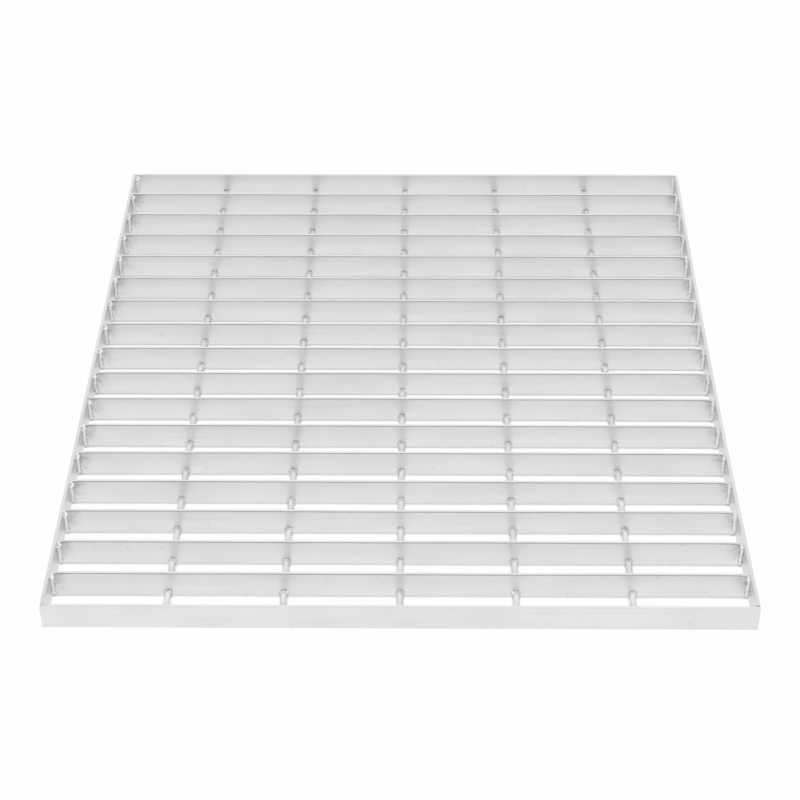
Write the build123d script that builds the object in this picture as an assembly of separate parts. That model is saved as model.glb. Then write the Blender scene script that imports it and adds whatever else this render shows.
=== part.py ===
from build123d import *
import math
import os

# Welded steel drain grate, hot-dip galvanised, in millimetres.
# Flat bearing bars stand on edge between the two sides of a flat-bar frame.
# Twisted square rods cross under them, forged into their lower edges.
# The origin is at the middle of the underside: +X runs along the bearing bars,
# +Y runs from the front bar to the back bar, and +Z is up.

# Bearing bars
bar_count = 16
bar_pitch = 40.0
bar_span = 600.0
bar_height = 25.0
bar_thickness = 3.0
bar_edge_break = 0.5

# Frame of flat bar, flush with the bearing bars above and below
frame_thickness = 3.0
frame_edge_break = 0.5
# How far the heat of the welds has pulled in the middle of the right-hand side bar
right_side_bow = 2.6

# Cross rods, twisted from square steel
rod_count = 5
rod_pitch = 100.0
rod_side = 4.5
rod_full_turn = 100.0
# The twisted faces are drawn as flat facets, a new ring of them after this much turn
rod_facet_degrees = 36.0

# Knots of upset steel where a rod is forged into a bar
knot_spread = 0.85
knot_rise = 0.6
knot_corner = 2.2
knot_slope = 3.4
knot_end = 0.5
notch_clearance = 0.02

# Fillet welds at the ends of the bearing bars and in the corners of the frame
weld_leg = 3.0
weld_waist = 2.3
weld_crown = 0.62
weld_ripple_count = 3
weld_from_top = 1.0
weld_from_bottom = 1.6

# Sizes that follow from the ones above
inner_depth = (bar_count + 1) * bar_pitch - frame_thickness
frame_row_y = (bar_count + 1) * bar_pitch / 2
frame_width = bar_span + 2 * frame_thickness
half_span = bar_span / 2
half_depth = inner_depth / 2
rod_diagonal = rod_side * math.sqrt(2)
knot_width = rod_diagonal + 2 * knot_spread
knot_height = rod_diagonal + knot_rise


def bar_row_y(number):
    """Middle of a bearing bar; number 1 is next to the front bar."""
    return (number - (bar_count + 1) / 2) * bar_pitch


def rod_row_x(number):
    """Axis of a cross rod; number 1 is the one on the left."""
    return (number - (rod_count + 1) / 2) * rod_pitch


def flat_bar(length, thickness, edge_break):
    """A rolled flat bar on edge along X, standing on z = 0, its long edges broken."""
    section = Plane.YZ * Pos(0, bar_height / 2) * Rectangle(thickness, bar_height)
    bar = extrude(section, amount=length / 2, both=True)
    return chamfer(bar.edges().filter_by(Axis.X), edge_break)


def bowed_edge(x):
    """The plan line of a right-hand face that stands at x at both of its ends."""
    return ThreePointArc((x, -half_depth), (x - right_side_bow, 0), (x, half_depth))


def side_wall_x(side, y):
    """Where the inner face of the left or right side bar stands at a given y."""
    if side < 0:
        return -half_span
    bow_radius = (half_depth**2 + right_side_bow**2) / (2 * right_side_bow)
    return half_span - right_side_bow + bow_radius - math.sqrt(bow_radius**2 - y**2)


def frame_clear_area():
    """The space inside the frame, which the bars and the welds are cut to."""
    outline = Polyline(
        (half_span, half_depth),
        (-half_span, half_depth),
        (-half_span, -half_depth),
        (half_span, -half_depth),
    )
    plan = make_face([bowed_edge(half_span), *outline.edges()])
    return extrude(plan, amount=bar_height)


def front_or_back_bar(side):
    """A bar across the full width of the frame, over the ends of the side bars."""
    bar = flat_bar(frame_width, frame_thickness, frame_edge_break)
    return Pos(0, side * frame_row_y, 0) * bar


def left_side_bar():
    """The straight side bar, between the front and back bars."""
    bar = flat_bar(inner_depth, frame_thickness, frame_edge_break)
    return Pos(-half_span - frame_thickness / 2, 0, 0) * Rot(0, 0, 90) * bar


def right_side_bar():
    """The side bar that the welds have pulled into a shallow curve."""
    outer_x = half_span + frame_thickness
    ends = [
        Line((half_span, -half_depth), (outer_x, -half_depth)),
        Line((half_span, half_depth), (outer_x, half_depth)),
    ]
    plan = make_face([bowed_edge(half_span), bowed_edge(outer_x), *ends])
    bar = extrude(plan, amount=bar_height)
    long_edges = bar.edges().filter_by(lambda edge: edge.length > inner_depth / 2)
    return chamfer(long_edges, frame_edge_break)


def knot_section(clearance):
    """Upright section across a knot: flat on the underside, its upper corners cut off."""
    half_width = knot_width / 2 + clearance
    height = knot_height + clearance
    corner_z = height - knot_corner
    corner_x = half_width - knot_corner
    right = [(half_width, 0), (half_width, corner_z), (corner_x, height)]
    left = [(-x, z) for x, z in reversed(right)]
    return Plane.XZ * make_face(Polyline(right + left, close=True))


def knot_block(from_y, to_y, front_slope, back_slope):
    """Upset steel, full height from one y to the other, that slopes down beyond them."""
    side = Polyline(
        (from_y - front_slope, 0),
        (from_y, knot_height),
        (to_y, knot_height),
        (to_y + back_slope, 0),
        close=True,
    )
    sloped = extrude(Plane.YZ * make_face(side), amount=knot_width, both=True)
    return (extrude(knot_section(0), amount=half_depth, both=True) & sloped).solid()


def knots():
    """The knots of one rod: one through each bearing bar, half ones at the frame."""
    half_bar = bar_thickness / 2
    middle = knot_block(-half_bar, half_bar, knot_slope, knot_slope)
    blocks = [Pos(0, bar_row_y(number), 0) * middle for number in range(1, bar_count + 1)]
    blocks.append(knot_block(-half_depth, -half_depth + knot_end, 0, knot_slope))
    blocks.append(knot_block(half_depth - knot_end, half_depth, knot_slope, 0))
    return blocks


def rod_ring(along):
    """The four corners of the square section, this far along from the rod's front end."""
    turn = 360 * along / rod_full_turn
    corner_radius = rod_diagonal / 2
    angles = [math.radians(turn + quarter * 90) for quarter in range(4)]
    return [
        (corner_radius * math.cos(angle), along - half_depth, corner_radius * (1 + math.sin(angle)))
        for angle in angles
    ]


def twisted_rod():
    """The square rod from the front bar to the back bar, each of its faces folded into facets."""
    ring_count = math.ceil(360 * inner_depth / rod_full_turn / rod_facet_degrees)
    rings = [rod_ring(inner_depth * ring / ring_count) for ring in range(ring_count + 1)]
    facets = [rings[0], rings[-1]]
    for ring, next_ring in zip(rings, rings[1:]):
        for side in range(4):
            after = (side + 1) % 4
            facets.append([ring[side], ring[after], next_ring[side]])
            facets.append([ring[after], next_ring[after], next_ring[side]])
    return Solid(Shell([Face(Wire.make_polygon(corners)) for corners in facets]))


def cross_rod():
    """A twisted square rod that swells into a knot at each bar it crosses."""
    return twisted_rod().fuse(*knots())


def notched_bar():
    """A bearing bar with a notch from below for each rod, before its ends are fitted."""
    bar = flat_bar(bar_span, bar_thickness, bar_edge_break)
    notch = extrude(knot_section(notch_clearance), amount=bar_thickness, both=True)
    for number in range(1, rod_count + 1):
        bar -= Pos(rod_row_x(number), 0, 0) * notch
    return bar


def weld_section(z, leg):
    """Level section of a bead whose two flat faces meet at the origin."""
    crown = weld_crown * leg
    return Pos(0, 0, z) * make_face(Polyline((0, 0), (leg, 0), (crown, -crown), (0, -leg), close=True))


def weld_bead():
    """A rippled fillet bead up an inside corner, for the corner's left-hand side."""
    low = weld_from_bottom
    step = (bar_height - weld_from_top - weld_from_bottom) / (2 * weld_ripple_count)
    sections = []
    for level in range(2 * weld_ripple_count + 1):
        leg = weld_leg if level % 2 else weld_waist
        sections.append(weld_section(low + level * step, leg))
    return loft(sections, ruled=True)


def seated_bead(bead, side, y, reach):
    """A bead in the corner between a cross-wise face at y and the side bar.

    The bead runs from y to y + reach, and stands clear of the side bar's curve.
    """
    if side > 0:
        bead = bead.mirror(Plane.YZ)
    if reach > 0:
        bead = bead.mirror(Plane.XZ)
    wall_x = min(abs(side_wall_x(side, y)), abs(side_wall_x(side, y + reach)))
    return Pos(side * wall_x, y, 0) * bead


def end_welds(side, bead):
    """The beads down the front faces of the bearing bars at one side of the frame."""
    front_faces = [bar_row_y(row) - bar_thickness / 2 for row in range(1, bar_count + 1)]
    return Compound([seated_bead(bead, side, y, -weld_leg) for y in front_faces])


def corner_welds(bead):
    """The beads in the four inside corners of the frame."""
    beads = []
    for side in (-1, 1):
        beads.append(seated_bead(bead, side, half_depth, -weld_leg))
        beads.append(seated_bead(bead, side, -half_depth, weld_leg))
    return Compound(beads)


def save(shape, node):
    """Write one piece, or one group of like pieces, under its name."""
    export_step(shape, f"parts/{node}.step")


os.makedirs("parts", exist_ok=True)
clear_area = frame_clear_area()

save(front_or_back_bar(-1), "frame_front_bar")
save(front_or_back_bar(1), "frame_back_bar")
save(left_side_bar(), "frame_left_bar")
save(right_side_bar(), "frame_right_bar")

fitted_bar = notched_bar()
for bar_number in range(1, bar_count + 1):
    bearing_bar = Pos(0, bar_row_y(bar_number), 0) * fitted_bar & clear_area
    save(bearing_bar, f"bearing_bar_{bar_number:02d}")

rod = cross_rod()
for rod_number in range(1, rod_count + 1):
    save(Pos(rod_row_x(rod_number), 0, 0) * rod, f"cross_rod_{rod_number}")

bead = weld_bead()
save(end_welds(-1, bead), "left_end_welds")
save(end_welds(1, bead), "right_end_welds")
save(corner_welds(bead), "frame_corner_welds")
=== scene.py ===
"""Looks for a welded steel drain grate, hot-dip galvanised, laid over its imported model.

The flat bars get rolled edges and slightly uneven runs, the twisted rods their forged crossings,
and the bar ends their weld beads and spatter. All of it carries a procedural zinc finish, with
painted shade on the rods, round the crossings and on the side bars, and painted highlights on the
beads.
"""

import math
import random

import bmesh
import bpy
from bpy.props import FloatProperty, IntProperty, PointerProperty
from bpy.types import Operator, Panel, PropertyGroup
from mathutils import Euler, Matrix, Vector, noise


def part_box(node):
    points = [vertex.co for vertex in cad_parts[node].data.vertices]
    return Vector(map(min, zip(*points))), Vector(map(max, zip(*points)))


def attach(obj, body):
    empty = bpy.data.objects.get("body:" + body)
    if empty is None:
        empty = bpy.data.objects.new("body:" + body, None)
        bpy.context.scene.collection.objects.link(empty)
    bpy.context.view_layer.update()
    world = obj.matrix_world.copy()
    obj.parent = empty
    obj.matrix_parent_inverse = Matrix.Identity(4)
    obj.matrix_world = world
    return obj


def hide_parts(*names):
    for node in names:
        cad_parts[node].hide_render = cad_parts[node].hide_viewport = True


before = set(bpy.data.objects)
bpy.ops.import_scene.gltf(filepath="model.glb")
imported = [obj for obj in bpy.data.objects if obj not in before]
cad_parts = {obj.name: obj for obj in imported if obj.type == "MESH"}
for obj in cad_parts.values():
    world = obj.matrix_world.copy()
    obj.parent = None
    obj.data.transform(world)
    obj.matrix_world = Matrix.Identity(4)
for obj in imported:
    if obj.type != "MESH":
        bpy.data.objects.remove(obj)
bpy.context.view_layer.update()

bl_info = {
    "name": "Drain grate looks",
    "version": (1, 0, 0),
    "blender": (4, 5, 0),
    "location": "3D View > Sidebar > Drain grate",
    "description": "Rolled bars, forged crossings, weld beads and zinc for a welded drain grate",
    "category": "Object",
}

MM = 0.001
BODY = "root"

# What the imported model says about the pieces
BAR_NODES = sorted(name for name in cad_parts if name.startswith("bearing_bar_"))
ROD_NODES = sorted(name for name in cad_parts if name.startswith("cross_rod_"))
FRAME_NODES = ["frame_front_bar", "frame_back_bar", "frame_left_bar", "frame_right_bar"]
BAR_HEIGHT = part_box(BAR_NODES[0])[1].z
BAR_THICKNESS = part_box(BAR_NODES[0])[1].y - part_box(BAR_NODES[0])[0].y
BAR_ROWS = [(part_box(name)[0].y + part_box(name)[1].y) / 2 for name in BAR_NODES]
ROD_ROWS = [(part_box(name)[0].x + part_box(name)[1].x) / 2 for name in ROD_NODES]
INNER_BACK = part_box("frame_left_bar")[1].y
INNER_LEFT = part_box("frame_left_bar")[1].x
ROD_AXIS_Z = 3.18 * MM

# The same in millimetres, as the materials measure
ROD_PITCH = round((ROD_ROWS[1] - ROD_ROWS[0]) / MM, 3)
BAR_PITCH = round((BAR_ROWS[1] - BAR_ROWS[0]) / MM, 3)
HALF_SPAN = round(-INNER_LEFT / MM, 3)
HALF_DEPTH = round(INNER_BACK / MM, 3)

# Where the bars are cut so that they can bend: every so often, and close to both ends
CUT_SPACING = 15 * MM
BAR_END_CUTS = [reach * MM for reach in (0.8, 1.6, 2.6, 3.6, 4.8, 6.2, 8, 11)]
FRAME_END_CUTS = [reach * MM for reach in (0.5, 1, 1.8, 3, 5, 8, 11)]

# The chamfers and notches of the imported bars, with a little room round them
EDGE_BREAK = 0.5 * MM
CHAMFER_REACH = 0.8 * MM
NOTCH_HALF_WIDTH = 4.5 * MM
NOTCH_HEIGHT = 8 * MM

# How much is left of the chamfer at an upper edge: 0 is a sharp corner, 1 the whole chamfer
KEEN_EDGE = 0.15
CRISP_EDGE = 0.3
SOFT_EDGE = 0.4

# Frame bars worn down at their left or front end: how deep and how far, in millimetres
WORN_ENDS = {
    "frame_front_bar": (1.7, 9),
    "frame_left_bar": (1.4, 15),
    "frame_right_bar": (0.35, 0.9),
}

# How deep the upper edge of a bearing bar sinks into its welds, as shares of the melt depth,
# and the height, as a share of the bar's, from which the steel gives way
MELT_FROM = 0.86
MELT_LEFT = (0.1, 0.6)
MELT_RIGHT = (0.4, 1)
MELT_REACH = 5.5 * MM

# The rings of the rods: close together beside each bar, and so many more between two bars
RING_SPACING = 0.55 * MM
RINGS_BESIDE_BAR = 12
RINGS_BETWEEN = 8

# The knots, in millimetres and degrees: a lump on both faces of a bar, with wings that rise on
# both sides of the rod
LUMP_RADIUS = 2.75
LUMP_LENGTH = 1.4
WING_REACH = 2.3
WING_TILT = 30

# The beads: their rings and sides, where they run in at the top, as a share of their height, how
# much they swell there, and how far the ones in the frame's corners stay below the bars
BEAD_RINGS = 48
BEAD_SIDES = 14
POOL_AT = 0.92
POOL_LEFT = 0.95
POOL_RIGHT = 0.45
CURL_FROM = 0.86
LOWERED_CORNER = 2.4 * MM
LOWERED_ELSEWHERE = 0.8 * MM

# Where each kind of piece starts its random draws
BAR_SEED = 100
ROD_SEED = 300
END_WELD_SEED = 500
CORNER_WELD_SEED = 600

# The zinc: its darkest and lightest tones and the painted shade of the side bars, as shares of its
# grey, how far its runs stretch, and, in millimetres, its darkening beside the end welds and the
# height of the crossings
DARKEST = 0.66
LIGHTEST = 1.06
SIDE_BAR_SHADE = 0.94
RUN_STRETCH = 14
WELD_SIDE_DARKENING = 1.05
WELD_SIDE_REACH = 19
CROSSING_Z = 3.2

# The floor: how far it reaches, how far it lies below the steel, its grey in plain light, which
# shows only in its contact shadow and is set darker than the white floor to deepen that shadow, how
# white it is to the camera and in the zinc, and how near the steel has to be to shade it
FLOOR_REACH = 4
FLOOR_DROP = 0.05 * MM
CONTACT_SHADOW_GREY = 0.74
FLOOR_WHITE = 0.97
FLOOR_IN_ZINC = 0.94
CONTACT_REACH = 2.8 * MM

# The lamp, and the photograph's viewpoint as it was fitted: metres and degrees
LAMP_PLACE = (-0.1, -3.0, 2.6)
LAMP_SIZE = 2.0
CAMERA_PLACE = (0.01463, -1.50654, 1.17707)
CAMERA_DOWN = 38.5716
CAMERA_LEFT = 0.6583
CAMERA_LEAN = -0.2513


class GrateSizes(PropertyGroup):
    """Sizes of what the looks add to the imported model."""

    edge_rounding: FloatProperty(
        name="Edge rounding",
        description="How far the rolled edges of the flat bars are rounded past their chamfers",
        default=0.2 * MM,
        min=0,
        subtype="DISTANCE",
        unit="LENGTH",
    )
    bar_bow: FloatProperty(
        name="Bar bow",
        description="How far a bearing bar strays from straight between its ends",
        default=0.45 * MM,
        min=0,
        subtype="DISTANCE",
        unit="LENGTH",
    )
    end_melt: FloatProperty(
        name="Melted ends",
        description="How far the upper edge of a bar sinks into its weld",
        default=2.6 * MM,
        min=0,
        subtype="DISTANCE",
        unit="LENGTH",
    )
    rod_side: FloatProperty(
        name="Rod side",
        description="Side of the square steel that the rods are twisted from",
        default=4.5 * MM,
        min=1 * MM,
        subtype="DISTANCE",
        unit="LENGTH",
    )
    rod_turn: FloatProperty(
        name="Rod turn",
        description="Length of rod in which the square winds round once",
        default=100 * MM,
        min=10 * MM,
        subtype="DISTANCE",
        unit="LENGTH",
    )
    rod_corner: FloatProperty(
        name="Rod corner radius",
        description="Rounding of the rod's four corners",
        default=1.0 * MM,
        min=0.1 * MM,
        subtype="DISTANCE",
        unit="LENGTH",
    )
    bead_radius: FloatProperty(
        name="Bead radius",
        description="Half the thickness of a weld bead",
        default=1.85 * MM,
        min=0.2 * MM,
        subtype="DISTANCE",
        unit="LENGTH",
    )
    bead_ripple: FloatProperty(
        name="Bead ripple",
        description="Distance from one ripple of a weld bead to the next",
        default=2.6 * MM,
        min=0.5 * MM,
        subtype="DISTANCE",
        unit="LENGTH",
    )
    spatter_count: IntProperty(
        name="Spatter",
        description="Drops of spatter beside each weld bead",
        default=3,
        min=0,
        max=20,
    )


class GrateFinish(PropertyGroup):
    """Colours and gloss of the zinc."""

    zinc_grey: FloatProperty(
        name="Zinc grey",
        description="How much light the zinc gives back",
        default=0.80,
        min=0,
        max=1,
        subtype="FACTOR",
    )
    zinc_roughness: FloatProperty(
        name="Zinc roughness",
        description="Roughness of the zinc on the flat bars",
        default=0.34,
        min=0,
        max=1,
        subtype="FACTOR",
    )
    # The rods' zinc is set lighter than the bars', with less metal in it, as painted light
    rod_lit_grey: FloatProperty(
        name="Rod grey",
        description="How much light the zinc on the rods gives back",
        default=1.0,
        min=0,
        max=1,
        subtype="FACTOR",
    )
    weld_grey: FloatProperty(
        name="Weld grey",
        description="How much light the zinc over the welds gives back",
        default=0.84,
        min=0,
        max=1,
        subtype="FACTOR",
    )
    weld_roughness: FloatProperty(
        name="Weld roughness",
        description="Roughness of the zinc over the welds and crossings",
        default=0.30,
        min=0,
        max=1,
        subtype="FACTOR",
    )


class GrateStage(PropertyGroup):
    """Floor, light and camera."""

    room_light: FloatProperty(
        name="Room light",
        description="Strength of the even light from all round",
        default=0.68,
        min=0,
    )
    lamp_power: FloatProperty(
        name="Lamp power",
        description="Power of the large soft lamp on the camera's side",
        default=110,
        min=0,
        unit="POWER",
    )
    ceiling_brightness: FloatProperty(
        name="Ceiling brightness",
        description="How bright the ceiling above the camera looks in the zinc",
        default=0.16,
        min=0,
        max=1,
        subtype="FACTOR",
    )
    lens: FloatProperty(
        name="Lens",
        description="Focal length of the camera, in millimetres",
        default=87.40,
        min=1,
    )


class Socket:
    """The output of a shader node, which Python sums turn into further nodes."""

    def __init__(self, finish, output):
        self.finish = finish
        self.output = output

    def math(self, operation, *values):
        return self.finish.add("ShaderNodeMath", {"operation": operation}, dict(enumerate(values)))

    def __add__(self, other):
        return self.math("ADD", self, other)

    def __sub__(self, other):
        return self.math("SUBTRACT", self, other)

    def __mul__(self, other):
        return self.math("MULTIPLY", self, other)

    def __truediv__(self, other):
        return self.math("DIVIDE", self, other)

    def __rsub__(self, other):
        return self.math("SUBTRACT", other, self)

    __radd__ = __add__
    __rmul__ = __mul__

    def __abs__(self):
        return self.math("ABSOLUTE", self)

    def fraction(self):
        return self.math("FRACT", self)

    def square_root(self):
        return self.math("SQRT", self)

    def maximum(self, other):
        return self.math("MAXIMUM", self, other)

    def ramp(self, low, high):
        """This value's climb from low to high, eased at both ends, as 0 to 1."""
        settings = {"interpolation_type": "SMOOTHSTEP"}
        sockets = {"Value": self, "From Min": low, "From Max": high}
        return self.finish.add("ShaderNodeMapRange", settings, sockets)

    def scaled(self, factors):
        """This vector with each of its parts multiplied by its own factor."""
        settings = {"operation": "MULTIPLY"}
        return self.finish.add("ShaderNodeVectorMath", settings, {0: self, 1: factors})

    def part(self, name):
        return self.finish.add("ShaderNodeSeparateXYZ", {}, {0: self}, name)


class Finish:
    """A node tree in which each call adds one node and gives back its output."""

    def __init__(self, tree):
        self.tree = tree
        tree.nodes.clear()

    def add(self, kind, settings=None, sockets=None, output=0):
        node = self.tree.nodes.new(kind)
        for name, value in (settings or {}).items():
            setattr(node, name, value)
        for key, value in (sockets or {}).items():
            if isinstance(value, Socket):
                self.tree.links.new(value.output, node.inputs[key])
            else:
                node.inputs[key].default_value = value
        return Socket(self, node.outputs[output] if node.outputs else None)

    def place(self):
        """Millimetres from the middle of the underside, along X, Y and Z."""
        spot = self.add("ShaderNodeTexCoord", output="Object")
        return spot.scaled((1 / MM, 1 / MM, 1 / MM))

    def clouds(self, place, size, detail=2.0, stretch=(1, 1, 1)):
        """Soft noise from 0 to 1 whose patches are about size millimetres across."""
        spot = place.scaled(tuple(1 / (size * part) for part in stretch))
        return self.add("ShaderNodeTexNoise", {}, {"Vector": spot, "Scale": 1.0, "Detail": detail})

    def mixed(self, amount, low, high):
        """A colour between two greys."""
        mix = self.tree.nodes.new("ShaderNodeMix")
        mix.data_type = "RGBA"
        for name, value in (("A", low), ("B", high)):
            colour = next(s for s in mix.inputs if s.name == name and s.type == "RGBA")
            colour.default_value = (value, value, value, 1)
        factor = next(s for s in mix.inputs if s.name == "Factor" and s.type == "VALUE")
        self.tree.links.new(amount.output, factor)
        colour = next(s for s in mix.outputs if s.type == "RGBA")
        return Socket(self, colour)


def new_material(name):
    """An empty material of this name, and the means to build its nodes."""
    material = bpy.data.materials.new(name)
    material.use_nodes = True
    return material, Finish(material.node_tree)


def from_rod(place):
    """Millimetres across from the nearest rod's axis, or from a side bar."""
    return abs((place.part("X") / ROD_PITCH + 0.5).fraction() - 0.5) * ROD_PITCH


def from_bar(place):
    """Millimetres along Y from the middle of the nearest bar."""
    return abs((place.part("Y") / BAR_PITCH).fraction() - 0.5) * BAR_PITCH


def bar_marks_and_painted_shade(finish, place, tone):
    """Darkening beside the end welds, faint behind the bars, and painted shade, mottled, in a ring
    round each crossing.
    """
    beside_weld = abs(place.part("X")).ramp(HALF_SPAN - WELD_SIDE_REACH, HALF_SPAN)
    near_weld = beside_weld * place.part("Z").ramp(-2, 20)
    behind = (place.part("Y") / BAR_PITCH).fraction().ramp(0.48, 0.52)
    patches = finish.clouds(place, 4.5, 1).ramp(0.3, 0.75)
    # darker in patches beside the end welds, more towards the top and much less on the bars' back
    # faces
    weld_side_darkening = near_weld * (1 - behind * 0.75) * (patches * 0.75 + 0.25)
    across, up = from_rod(place), place.part("Z") - CROSSING_Z
    reach = (across * across + up * up).square_root()
    # painted shade in a ring round each knot, where it meets the bar's face, broken up by mottling
    ring = reach.ramp(2.9, 3.6) * (1 - reach.ramp(3.9, 5.0))
    mottle = finish.clouds(place, 2.2, 2).ramp(0.36, 0.6)
    return tone - weld_side_darkening * WELD_SIDE_DARKENING - ring * mottle * 0.9


def rod_painted_shade(finish, place, tone):
    """Painted shade, broken up by mottling, over the knots and down the rods' sides."""
    knot = 1 - from_bar(place).ramp(3.6, 5.6)
    side = from_rod(place).ramp(1.4, 2.4)
    mottle = finish.clouds(place, 1.7, 2).ramp(0.36, 0.54)
    return tone - knot.maximum(side) * mottle * 0.85


def weld_painted_highlights(finish, place, tone):
    """Painted highlights at the upper ends of the beads, most of all on the left; the rest of each
    bead a little darker.
    """
    on_right = place.part("X").ramp(-10, 10)
    # pool is the painted highlight at the upper end of each bead
    pool = place.part("Z").ramp(19.5, 22) * (1 - on_right * 0.8)
    return tone * (0.75 + pool * 0.35)


def zinc(
    name, grey, roughness, bump_height, run, grain_size=2.4, metallic=1.0, lightest=None, marks_and_painted_light=None
):
    """Hot-dip zinc: faint clouds, runs along the steel, fine grain and a few dull specks.

    run holds how far the runs stretch along X, Y and Z, lightest is the lightest grey if it
    doesn't follow from grey, and the last argument is a function that adds the painted shade,
    painted highlights and other darkening of one kind of piece.
    """
    material, finish = new_material(name)
    place = finish.place()
    clouds = finish.clouds(place, 55, 3)
    runs = finish.clouds(place, 6, 3, run)
    grain = finish.clouds(place, grain_size, 3)
    specks = finish.clouds(place, 5, 2).ramp(0.70, 0.78)
    tone = clouds * 0.5 + runs * 0.35 + grain * 0.15 - specks * 0.35
    tone = tone.ramp(0.1, 0.8) * 0.4 + 0.6
    if marks_and_painted_light:
        tone = marks_and_painted_light(finish, place, tone)
    colour = finish.mixed(tone, grey * DARKEST, lightest or min(grey * LIGHTEST, 1))
    rough = roughness + (clouds - 0.5) * 0.10 + (grain - 0.5) * 0.12 + specks * 0.12
    relief = clouds * 0.4 + runs * 0.25 + grain * 0.35
    bump = finish.add(
        "ShaderNodeBump", {}, {"Height": relief, "Strength": 0.35, "Distance": bump_height}
    )
    look = {"Base Color": colour, "Metallic": metallic, "Roughness": rough, "Normal": bump}
    shader = finish.add("ShaderNodeBsdfPrincipled", {}, look)
    finish.add("ShaderNodeOutputMaterial", {}, {"Surface": shader})
    return material


def finished_piece(mesh, name, material, slot, *replaced):
    """Make a bmesh into a visible piece that stands for the CAD nodes it replaces."""
    bmesh.ops.recalc_face_normals(mesh, faces=mesh.faces)
    data = bpy.data.meshes.new(name)
    mesh.to_mesh(data)
    mesh.free()
    data.materials.append(material)
    data.polygons.foreach_set("use_smooth", [True] * len(data.polygons))
    piece = bpy.data.objects.new(name, data)
    bpy.context.scene.collection.objects.link(piece)
    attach(piece, BODY)
    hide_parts(*replaced)
    return piece


def fairing(piece, angle=35):
    """Keep corners sharper than this angle crisp, and let flat faces rule the shading."""
    sharp = math.radians(angle)
    mesh = bmesh.new()
    mesh.from_mesh(piece.data)
    for edge in mesh.edges:
        edge.smooth = not edge.is_manifold or edge.calc_face_angle(0) < sharp
    mesh.to_mesh(piece.data)
    mesh.free()
    fair = piece.modifiers.new("fair", "WEIGHTED_NORMAL")
    fair.keep_sharp = True


def merged_copy(node):
    """The surface of a CAD node with its loose triangles joined into whole faces."""
    mesh = bmesh.new()
    mesh.from_mesh(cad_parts[node].data)
    bmesh.ops.remove_doubles(mesh, verts=mesh.verts, dist=0.01 * MM)
    bmesh.ops.dissolve_limit(
        mesh, angle_limit=math.radians(0.3), verts=mesh.verts, edges=mesh.edges
    )
    return mesh


def cut_across(mesh, along, stations):
    """Cut every face where it crosses one of the stations along an axis (0 is X, 1 is Y)."""
    normal = Vector((1, 0, 0)) if along == 0 else Vector((0, 1, 0))
    for station in stations:
        bmesh.ops.bisect_plane(
            mesh,
            geom=mesh.verts[:] + mesh.edges[:] + mesh.faces[:],
            dist=0.001 * MM,
            plane_co=normal * station,
            plane_no=normal,
        )


def round_long_edges(mesh, along, rounding):
    """Turn the chamfers along a bar into rolled edges."""
    chosen = []
    for edge in mesh.edges:
        run = edge.verts[1].co - edge.verts[0].co
        lengthwise = abs(run[along]) > 0.98 * run.length
        if lengthwise and edge.is_manifold and 0.5 < edge.calc_face_angle(0) < 1.1:
            chosen.append(edge)
    bmesh.ops.bevel(
        mesh,
        geom=chosen,
        offset=rounding,
        offset_type="OFFSET",
        segments=2,
        profile=0.5,
        affect="EDGES",
        material=-1,
        clamp_overlap=True,
    )


def sharpen(vert, axis, corner, share):
    """Draw a point of the chamfer at a bar's upper edge in towards the corner it cuts off."""
    inward, down = vert.co[axis] - corner, BAR_HEIGHT - vert.co.z
    if max(abs(inward), down) < CHAMFER_REACH:
        vert.co[axis] = corner + inward * share
        vert.co.z = BAR_HEIGHT - down * share


def close_notches(mesh):
    """Close a bar's notches, which the forged crossings fill, down to its lower edge."""
    for vert in mesh.verts:
        across = min(abs(vert.co.x - row) for row in ROD_ROWS)
        if across < NOTCH_HALF_WIDTH and 0.1 * MM < vert.co.z < NOTCH_HEIGHT:
            vert.co.z = EDGE_BREAK
    bmesh.ops.dissolve_degenerate(mesh, dist=0.001 * MM, edges=mesh.edges)


def hill(distance, width):
    """1 at no distance, easing down to next to nothing at twice the width."""
    return math.exp(-((distance / width) ** 2))


def stations_between(low, high, spacing, near_ends):
    """Places to cut a bar: evenly along it, and at some distances from both ends."""
    count = round((high - low) / spacing)
    even = [low + (high - low) * step / count for step in range(1, count)]
    close = [low + reach for reach in near_ends] + [high - reach for reach in near_ends]
    return sorted(even + close)


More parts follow.
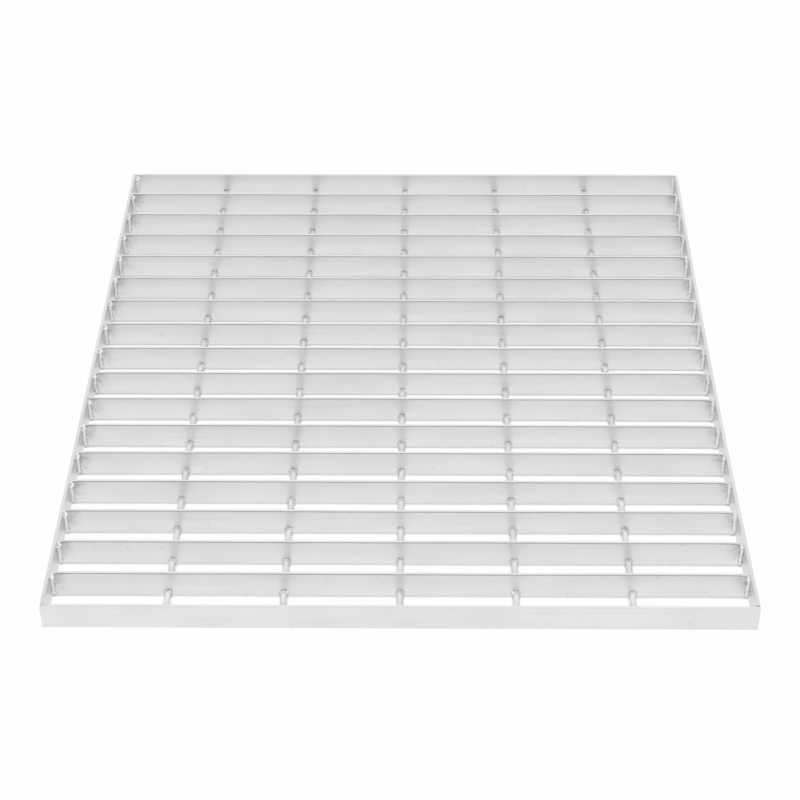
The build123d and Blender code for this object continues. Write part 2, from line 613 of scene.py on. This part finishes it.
class GRATE_OT_bearing_bars(Operator):
    """Round, bow and weld-melt the sixteen bearing bars"""

    bl_idname = "drain_grate.bearing_bars"
    bl_label = "Bearing bars"

    def execute(self, context):
        sizes = context.scene.grate_sizes
        look = context.scene.grate_finish
        material = zinc(
            "zinc_on_bearing_bars",
            look.zinc_grey,
            look.zinc_roughness,
            0.06 * MM,
            (RUN_STRETCH, 1, 1),
            marks_and_painted_light=bar_marks_and_painted_shade,
        )
        for number, node in enumerate(BAR_NODES):
            draw = random.Random(BAR_SEED + number)
            mesh = merged_copy(node)
            close_notches(mesh)
            round_long_edges(mesh, 0, sizes.edge_rounding)
            low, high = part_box(node)
            cut_across(mesh, 0, stations_between(low.x, high.x, CUT_SPACING, BAR_END_CUTS))
            self.bend(mesh, number, low, high, sizes, draw)
            piece = finished_piece(mesh, f"{node}_zinc", material, "galvanised_bars", node)
            fairing(piece)
        return {"FINISHED"}

    def bend(self, mesh, number, low, high, sizes, draw):
        """Bow the bar a little between its ends and sink its upper corners into the welds."""
        lift = draw.uniform(-1, 1) * sizes.bar_bow
        sway = draw.uniform(-1, 1) * sizes.bar_bow
        melts = [draw.uniform(*share) * sizes.end_melt for share in (MELT_LEFT, MELT_RIGHT)]
        for vert in mesh.verts:
            sharpen(vert, 1, high.y, CRISP_EDGE)
            along = (vert.co.x - low.x) / (high.x - low.x)
            arch = math.sin(math.pi * along)
            wander = noise.noise(Vector((vert.co.x / (90 * MM), number * 7.3, 0)))
            twist = noise.noise(Vector((vert.co.x / (140 * MM), number * 3.1, 9)))
            up = vert.co.z / BAR_HEIGHT
            vert.co.z += up * arch * (lift * 0.4 + wander * sizes.bar_bow * 0.5)
            vert.co.y += arch * (sway + (up - 0.5) * twist * sizes.bar_bow * 1.6)
            top = max(0.0, up - MELT_FROM) / (1 - MELT_FROM)
            for reach, melt in zip((vert.co.x - low.x, high.x - vert.co.x), melts):
                vert.co.z -= top * melt * math.exp(-((reach / MELT_REACH) ** 1.5))


class GRATE_OT_frame_bars(Operator):
    """Round the edges of the four bars of the frame"""

    bl_idname = "drain_grate.frame_bars"
    bl_label = "Frame bars"

    def execute(self, context):
        sizes = context.scene.grate_sizes
        look = context.scene.grate_finish
        finishes = (
            ("zinc_on_frame_front_and_back", look.zinc_grey, (RUN_STRETCH, 1, 1)),
            # the side bars get the same zinc painted darker, as painted shade
            ("zinc_on_frame_sides_painted_darker", look.zinc_grey * SIDE_BAR_SHADE, (1, RUN_STRETCH, 1)),
        )
        materials = [
            zinc(name, grey, look.zinc_roughness, 0.05 * MM, run) for name, grey, run in finishes
        ]
        for number, node in enumerate(FRAME_NODES):
            along = number // 2
            mesh = merged_copy(node)
            round_long_edges(mesh, along, sizes.edge_rounding)
            low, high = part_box(node)
            ends = low[along], high[along]
            cut_across(mesh, along, stations_between(*ends, CUT_SPACING, FRAME_END_CUTS))
            self.wear(mesh, number, along, low, high)
            piece = finished_piece(
                mesh, f"{node}_zinc", materials[along], "galvanised_frame", node
            )
            fairing(piece)
        return {"FINISHED"}

    def wear(self, mesh, number, along, low, high):
        """Sharpen the upper edges of a frame bar and wear down its ends."""
        depth, spread = WORN_ENDS.get(FRAME_NODES[number], (0, 1))
        for vert in mesh.verts:
            reach = min(vert.co[along] - low[along], high[along] - vert.co[along]) / MM
            top = max(0.0, vert.co.z / BAR_HEIGHT - 0.9) / 0.1
            spot = Vector((vert.co[along] / (5 * MM), number * 5.7, 2))
            drop = (0.25 - noise.noise(spot) * 0.3) * math.exp(-reach / 6)
            if vert.co[along] < 0:
                drop += depth * hill(reach, spread)
            if along == 0:
                sharpen(vert, 1, low.y, KEEN_EDGE)
                sharpen(vert, 1, high.y, CRISP_EDGE)
            else:
                bow = high.x - low.x - BAR_THICKNESS
                outer_x = high.x - bow * (1 - (vert.co.y / INNER_BACK) ** 2)
                sharpen(vert, 0, outer_x, SOFT_EDGE)
                sharpen(vert, 0, outer_x - BAR_THICKNESS, SOFT_EDGE)
            vert.co.z -= top * drop * MM


class GRATE_OT_cross_rods(Operator):
    """Twist the five rods and swell each into a forged knot at every bar"""

    bl_idname = "drain_grate.cross_rods"
    bl_label = "Cross rods"

    def execute(self, context):
        sizes = context.scene.grate_sizes
        look = context.scene.grate_finish
        # the rods get a lighter, less metallic copy of the zinc, as painted light, with painted
        # shade on their sides and knots
        material = zinc(
            "zinc_on_rods",
            look.rod_lit_grey,
            look.weld_roughness,
            0.05 * MM,
            (1, 6, 1),
            grain_size=1.6,
            metallic=0.2,
            marks_and_painted_light=rod_painted_shade,
        )
        for number, node in enumerate(ROD_NODES):
            mesh = self.twisted(node, number, sizes)
            self.forge(mesh, node, number)
            piece = finished_piece(mesh, f"{node}_zinc", material, "galvanised_rods", node)
            fairing(piece, 60)
        return {"FINISHED"}

    def stations(self, low, high):
        """Rings along the rod, close together beside each bar and further apart between."""
        seats = [low.y, *BAR_ROWS, high.y]
        places = {round(low.y, 6), round(high.y, 6)}
        for seat in seats:
            for step in range(-RINGS_BESIDE_BAR, RINGS_BESIDE_BAR + 1):
                places.add(round(seat + step * RING_SPACING, 6))
        reach = RINGS_BESIDE_BAR * RING_SPACING
        for before, after in zip(seats, seats[1:]):
            gap = after - before - 2 * reach
            for step in range(1, RINGS_BETWEEN + 1):
                places.add(round(before + reach + gap * step / (RINGS_BETWEEN + 1), 6))
        return sorted(place for place in places if low.y <= place <= high.y)

    def twisted(self, node, number, sizes):
        """A rounded square run along Y, turned a little further at every ring."""
        low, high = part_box(node)
        middle = Vector(((low.x + high.x) / 2, 0, ROD_AXIS_Z))
        places = self.stations(low, high)
        mesh = bmesh.new()
        bmesh.ops.create_grid(mesh, x_segments=1, y_segments=1, size=sizes.rod_side / 2)
        bmesh.ops.bevel(
            mesh,
            geom=mesh.verts[:],
            offset=sizes.rod_corner,
            offset_type="OFFSET",
            segments=4,
            profile=0.5,
            affect="VERTICES",
            material=-1,
        )
        bmesh.ops.delete(mesh, geom=mesh.faces[:], context="FACES_ONLY")
        upright = Matrix.Rotation(math.pi / 2, 3, "X")
        bmesh.ops.rotate(mesh, verts=mesh.verts, cent=(0, 0, 0), matrix=upright)
        draw_out(mesh, Vector((0, 1, 0)), len(places) - 1)
        for vert in mesh.verts:
            place = places[round(vert.co.y)]
            turn = math.tau * (place - low.y) / sizes.rod_turn + number * 1.1
            across, up = vert.co.x, vert.co.z
            vert.co.x = middle.x + across * math.cos(turn) + up * math.sin(turn)
            vert.co.z = middle.z + up * math.cos(turn) - across * math.sin(turn)
            vert.co.y = place
        return mesh

    def forge(self, mesh, node, number):
        """Push the rod out into a lump with two ragged wings on both faces of each bar."""
        low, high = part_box(node)
        axis_x = (low.x + high.x) / 2
        axis_z = ROD_AXIS_Z
        seats = [low.y, *BAR_ROWS, high.y]
        draw = random.Random(ROD_SEED + number)
        wings = {
            (seat, face, side): draw.uniform(0.3, 1.0)
            for seat in range(len(seats))
            for face in (-1, 1)
            for side in (-1, 1)
        }
        for vert in mesh.verts:
            across, up = vert.co.x - axis_x, vert.co.z - axis_z
            seat = min(range(len(seats)), key=lambda place: abs(seats[place] - vert.co.y))
            offset = vert.co.y - seats[seat]
            half_bar = BAR_THICKNESS / 2 if 0 < seat < len(seats) - 1 else 0.0
            past_face = (abs(offset) - half_bar) / MM
            angle = math.atan2(up, across)
            radius = math.hypot(across, up)
            spot = vert.co / (2.1 * MM) + Vector((number * 9.1, 0, 0))
            rough = noise.noise(spot)
            swell = 1 / (1 + math.exp((past_face - LUMP_LENGTH - rough * 1.1) / 0.35))
            lump = (LUMP_RADIUS + 0.4 * rough) * MM
            radius = radius + (max(lump, radius) - radius) * swell
            face = 1 if offset > 0 else -1
            side = 1 if across > 0 else -1
            wing = wings[seat, face, side]
            tilt = math.degrees(math.atan2(up, abs(across)))
            reach = hill(tilt - WING_TILT - 14 * rough, 15)
            thin = hill(max(0.0, past_face - 0.2), 0.8)
            radius += WING_REACH * MM * reach * thin * wing
            radius *= 1 + 0.02 * rough
            vert.co.x = axis_x + radius * math.cos(angle)
            vert.co.z = max(0.0, axis_z + radius * math.sin(angle) * (1 - 0.15 * swell))


def draw_out(mesh, step, count):
    """Sweep a mesh's edges into a tube of this many equal steps, and close both its ends."""
    bmesh.ops.spin(
        mesh,
        geom=mesh.verts[:] + mesh.edges[:],
        cent=(0, 0, 0),
        axis=step,
        dvec=step,
        angle=0,
        steps=count,
        use_merge=False,
        use_normal_flip=False,
        use_duplicate=False,
    )
    rims = [edge for edge in mesh.edges if edge.is_boundary]
    bmesh.ops.holes_fill(mesh, edges=rims, sides=0)


def add_bead(mesh, corner, away, sizes, draw, lowered=0.0):
    """A lumpy upright bead in the corner at this x and y.

    away holds the signs of X and Y that lead out of the corner, into the open cell. lowered is
    how far the bead's upper end stays below the top of the bars.
    """
    seed = draw.uniform(0, 100)
    phase = draw.uniform(0, math.tau)
    low = draw.uniform(0.4, 2.0) * MM
    high = BAR_HEIGHT - draw.uniform(-0.15, 0.7) * MM - lowered
    curl = draw.uniform(0.4, 1.6) * MM
    fullness = draw.uniform(0.85, 1.15)
    pool = POOL_LEFT if away[0] > 0 else POOL_RIGHT
    tube = bmesh.new()
    bmesh.ops.create_circle(tube, segments=BEAD_SIDES, radius=1.0, cap_ends=False)
    draw_out(tube, Vector((0, 0, 1)), BEAD_RINGS)
    for vert in tube.verts:
        share = round(vert.co.z) / BEAD_RINGS
        height = low + (high - low) * share
        dome = math.sqrt(max(0.0, 1 - abs(2 * share - 1) ** 9))
        ripple = math.cos(phase + math.tau * height / sizes.bead_ripple)
        blob = noise.noise(Vector((height / (3.4 * MM), seed, 0)))
        run_in = hill(share - POOL_AT, 0.07)
        swell = 1 + 0.10 * ripple + 0.34 * blob + pool * run_in
        radius = sizes.bead_radius * fullness * swell * max(dome, 0.04)
        sway = noise.noise(Vector((height / (7 * MM), seed, 5))) * 0.7 * MM
        outward = (vert.co.x * away[0] + vert.co.y * away[1]) / math.sqrt(2)
        sag = 0.55 * MM * outward * dome
        rough = 1 + 0.14 * noise.noise(
            Vector((vert.co.x * 1.4, vert.co.y * 1.4 + seed, height / (1.3 * MM)))
        )
        back = curl * max(0.0, share - CURL_FROM) / (1 - CURL_FROM)
        centre_x = corner[0] + away[0] * (0.55 * sizes.bead_radius + sway)
        centre_y = corner[1] + away[1] * (0.5 * sizes.bead_radius - 0.4 * sway - back)
        vert.co.x = centre_x + vert.co.x * radius * rough
        vert.co.y = centre_y + vert.co.y * radius * rough
        vert.co.z = max(0.2 * MM, height - sag)
    bmesh.ops.recalc_face_normals(tube, faces=tube.faces)
    bead = bpy.data.meshes.new("bead")
    tube.to_mesh(bead)
    tube.free()
    mesh.from_mesh(bead)
    bpy.data.meshes.remove(bead)


def add_spatter(mesh, corner, away, sizes, draw):
    """Small flattened drops on the bar's face beside a bead."""
    for _ in range(sizes.spatter_count):
        radius = draw.uniform(0.22, 0.55) * MM
        reach = draw.uniform(2.6, 11) * MM
        height = draw.uniform(3, 22) * MM
        middle = Vector((corner[0] + away[0] * reach, corner[1], height))
        shape = Matrix.Translation(middle) @ Matrix.Diagonal((1, 0.6, 1.15, 1))
        bmesh.ops.create_icosphere(mesh, subdivisions=1, radius=radius, matrix=shape)


def wall_x(side, y):
    """Where the inner face of the left or right side bar stands at this y."""
    if side < 0:
        return INNER_LEFT
    name = min(BAR_NODES, key=lambda node: abs(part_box(node)[0].y - y))
    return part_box(name)[1].x


class GRATE_OT_end_welds(Operator):
    """Lay the weld beads down the front faces of the bars at both ends"""

    bl_idname = "drain_grate.end_welds"
    bl_label = "End welds"

    def execute(self, context):
        sizes = context.scene.grate_sizes
        look = context.scene.grate_finish
        material = zinc(
            "zinc_on_welds",
            look.weld_grey,
            look.weld_roughness,
            0.06 * MM,
            (1, 1, 1),
            grain_size=1.4,
            metallic=0.6,
            # lets the painted highlights reach white
            lightest=1.0,
            marks_and_painted_light=weld_painted_highlights,
        )
        for side, node in ((-1, "left_end_welds"), (1, "right_end_welds")):
            draw = random.Random(END_WELD_SEED + side)
            mesh = bmesh.new()
            for row in BAR_ROWS:
                corner = (wall_x(side, row), row - BAR_THICKNESS / 2)
                away = (-side, -1)
                add_bead(mesh, corner, away, sizes, draw)
                add_spatter(mesh, corner, away, sizes, draw)
            piece = finished_piece(mesh, f"{node}_zinc", material, "galvanised_welds", node)
            fairing(piece, 80)
        return {"FINISHED"}


class GRATE_OT_corner_welds(Operator):
    """Lay the weld beads in the four inside corners of the frame"""

    bl_idname = "drain_grate.corner_welds"
    bl_label = "Corner welds"

    def execute(self, context):
        sizes = context.scene.grate_sizes
        material = bpy.data.materials["zinc_on_welds"]
        draw = random.Random(CORNER_WELD_SEED)
        mesh = bmesh.new()
        inner_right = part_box("frame_right_bar")[1].x - BAR_THICKNESS
        for side, x in ((-1, INNER_LEFT), (1, inner_right)):
            for end in (-1, 1):
                lowered = LOWERED_CORNER if side == end == -1 else LOWERED_ELSEWHERE
                add_bead(mesh, (x, end * INNER_BACK), (-side, -end), sizes, draw, lowered)
        node = "frame_corner_welds"
        piece = finished_piece(mesh, f"{node}_zinc", material, "galvanised_welds", node)
        fairing(piece, 80)
        return {"FINISHED"}


class GRATE_OT_stage(Operator):
    """Set up the white floor, the room light, the lamp and the camera"""

    bl_idname = "drain_grate.stage"
    bl_label = "Stage"

    def execute(self, context):
        settings = context.scene.grate_stage
        self.floor()
        self.room(context, settings)
        self.lamp(context, settings)
        self.camera(context, settings)
        context.scene.view_settings.view_transform = "Standard"
        return {"FINISHED"}

    def kinds_of_ray(self, finish):
        """Three values, each 1 on a ray that the camera, a reflection or clear matter sends."""
        kinds = ("Is Camera Ray", "Is Glossy Ray", "Is Transmission Ray")
        return [finish.add("ShaderNodeLightPath", output=kind) for kind in kinds]

    def floor(self):
        """A white floor that shows a thin shadow only where the steel all but touches it."""
        mesh = bmesh.new()
        bmesh.ops.create_grid(mesh, x_segments=1, y_segments=1, size=FLOOR_REACH)
        bmesh.ops.translate(mesh, verts=mesh.verts, vec=(0, 0, -FLOOR_DROP))
        data = bpy.data.meshes.new("floor")
        mesh.to_mesh(data)
        mesh.free()
        floor = bpy.data.objects.new("floor", data)
        bpy.context.scene.collection.objects.link(floor)
        material, finish = new_material("white_floor")
        camera, glossy, through = self.kinds_of_ray(finish)
        sky = finish.add(
            "ShaderNodeAmbientOcclusion", {"samples": 16}, {"Distance": CONTACT_REACH}, "AO"
        )
        contact_shadow = self.shadow_strength(finish.place()) * (1 - sky.ramp(0.84, 0.92))
        white = camera * (1 - contact_shadow) * FLOOR_WHITE
        white = white + glossy * FLOOR_IN_ZINC + through * FLOOR_WHITE
        # The contact shadow is partly real, the floor's grey under the lamp and room light where
        # ambient occlusion finds steel close, and partly painted: that grey is darker than the
        # floor, and where the shadow may show is set by place.
        grey = (CONTACT_SHADOW_GREY, CONTACT_SHADOW_GREY, CONTACT_SHADOW_GREY, 1)
        shadow_cloth = finish.add("ShaderNodeBsdfDiffuse", {}, {"Color": grey})
        glow = finish.add("ShaderNodeEmission", {}, {"Color": (1, 1, 1, 1), "Strength": 1.0})
        mix = finish.add("ShaderNodeMixShader", {}, {0: white, 1: shadow_cloth, 2: glow})
        finish.add("ShaderNodeOutputMaterial", {}, {"Surface": mix})
        data.materials.append(material)

    def shadow_strength(self, place):
        """How much of the contact shadow shows: none at the side bars, and less under the rods."""
        across, along = abs(place.part("X")), abs(place.part("Y"))
        bar, rod = from_bar(place), from_rod(place)
        beside_bar = (1 - bar.ramp(3.6, 4.6)) * (1 - across.ramp(HALF_SPAN + 1, HALF_SPAN + 3))
        off_the_sides = 1 - across.ramp(HALF_SPAN - 7, HALF_SPAN - 5)
        in_frame = 1 - along.ramp(HALF_DEPTH, HALF_DEPTH + 2)
        under_rod = (1 - rod.ramp(5, 6)) * bar.ramp(4.5, 6)
        return beside_bar.maximum(off_the_sides) * in_frame * (1 - under_rod * 0.6)

    def room(self, context, settings):
        """White all round. In the zinc the far side looks brighter and the ceiling dim."""
        world = bpy.data.worlds.new("room")
        context.scene.world = world
        world.use_nodes = True
        finish = Finish(world.node_tree)
        towards = finish.add("ShaderNodeTexCoord", output="Generated")
        camera, glossy, through = self.kinds_of_ray(finish)
        seen = camera.maximum(through)
        y, z = towards.part("Y"), towards.part("Z")
        walls = 0.8 + y.ramp(0.3, 0.7) * z.ramp(0.2, 0.5) * 0.28
        # 1 towards the ceiling, a little forward of straight up
        ceiling = (z * 0.966 - y * 0.26).ramp(0.80, 0.90)
        mirrored = glossy * (walls - ceiling * (0.8 - settings.ceiling_brightness))
        plain = (1 - seen.maximum(glossy)) * settings.room_light
        strength = seen + mirrored + plain
        light = finish.add(
            "ShaderNodeBackground", {}, {"Color": (1, 1, 1, 1), "Strength": strength}
        )
        finish.add("ShaderNodeOutputWorld", {}, {"Surface": light})

    def lamp(self, context, settings):
        """A large soft lamp on the camera's side, which leaves no glint in the zinc."""
        data = bpy.data.lights.new("soft_lamp", "AREA")
        data.energy = settings.lamp_power
        data.shape = "SQUARE"
        data.size = LAMP_SIZE
        lamp = bpy.data.objects.new("soft_lamp", data)
        lamp.location = LAMP_PLACE
        lamp.rotation_euler = (-lamp.location).to_track_quat("-Z", "Y").to_euler()
        lamp.visible_glossy = False
        context.scene.collection.objects.link(lamp)

    def camera(self, context, settings):
        """The photograph's viewpoint: above the front, looking down and a touch to the left."""
        data = bpy.data.cameras.new("camera")
        data.sensor_width = 36
        data.lens = settings.lens
        data.clip_start = 0.05
        camera = bpy.data.objects.new("camera", data)
        angles = (CAMERA_DOWN, CAMERA_LEFT, CAMERA_LEAN)
        down, left, lean = (math.radians(angle) for angle in angles)
        turn = Euler((math.pi / 2 - down, 0, left)).to_matrix() @ Matrix.Rotation(lean, 3, "Z")
        camera.matrix_world = Matrix.Translation(CAMERA_PLACE) @ turn.to_4x4()
        context.scene.collection.objects.link(camera)
        context.scene.camera = camera


class GRATE_PT_panel(Panel):
    """The grate's pieces and their settings"""

    bl_idname = "GRATE_PT_panel"
    bl_label = "Drain grate"
    bl_space_type = "VIEW_3D"
    bl_region_type = "UI"
    bl_category = "Drain grate"

    def draw(self, context):
        for operator in OPERATORS:
            self.layout.operator(operator.bl_idname)
        for name in SETTINGS:
            group = getattr(context.scene, name)
            box = self.layout.box()
            for key in group.__annotations__:
                box.prop(group, key)


SETTINGS = {
    "grate_sizes": GrateSizes,
    "grate_finish": GrateFinish,
    "grate_stage": GrateStage,
}
OPERATORS = [
    GRATE_OT_stage,
    GRATE_OT_frame_bars,
    GRATE_OT_bearing_bars,
    GRATE_OT_cross_rods,
    GRATE_OT_end_welds,
    GRATE_OT_corner_welds,
]


def register():
    for group in (*SETTINGS.values(), *OPERATORS, GRATE_PT_panel):
        bpy.utils.register_class(group)
    for name, group in SETTINGS.items():
        setattr(bpy.types.Scene, name, PointerProperty(type=group))


def unregister():
    for name in SETTINGS:
        delattr(bpy.types.Scene, name)
    for group in reversed((*SETTINGS.values(), *OPERATORS, GRATE_PT_panel)):
        bpy.utils.unregister_class(group)


def main():
    register()
    for operator in OPERATORS:
        family, name = operator.bl_idname.split(".")
        getattr(getattr(bpy.ops, family), name)()


if __name__ == "__main__":
    main()
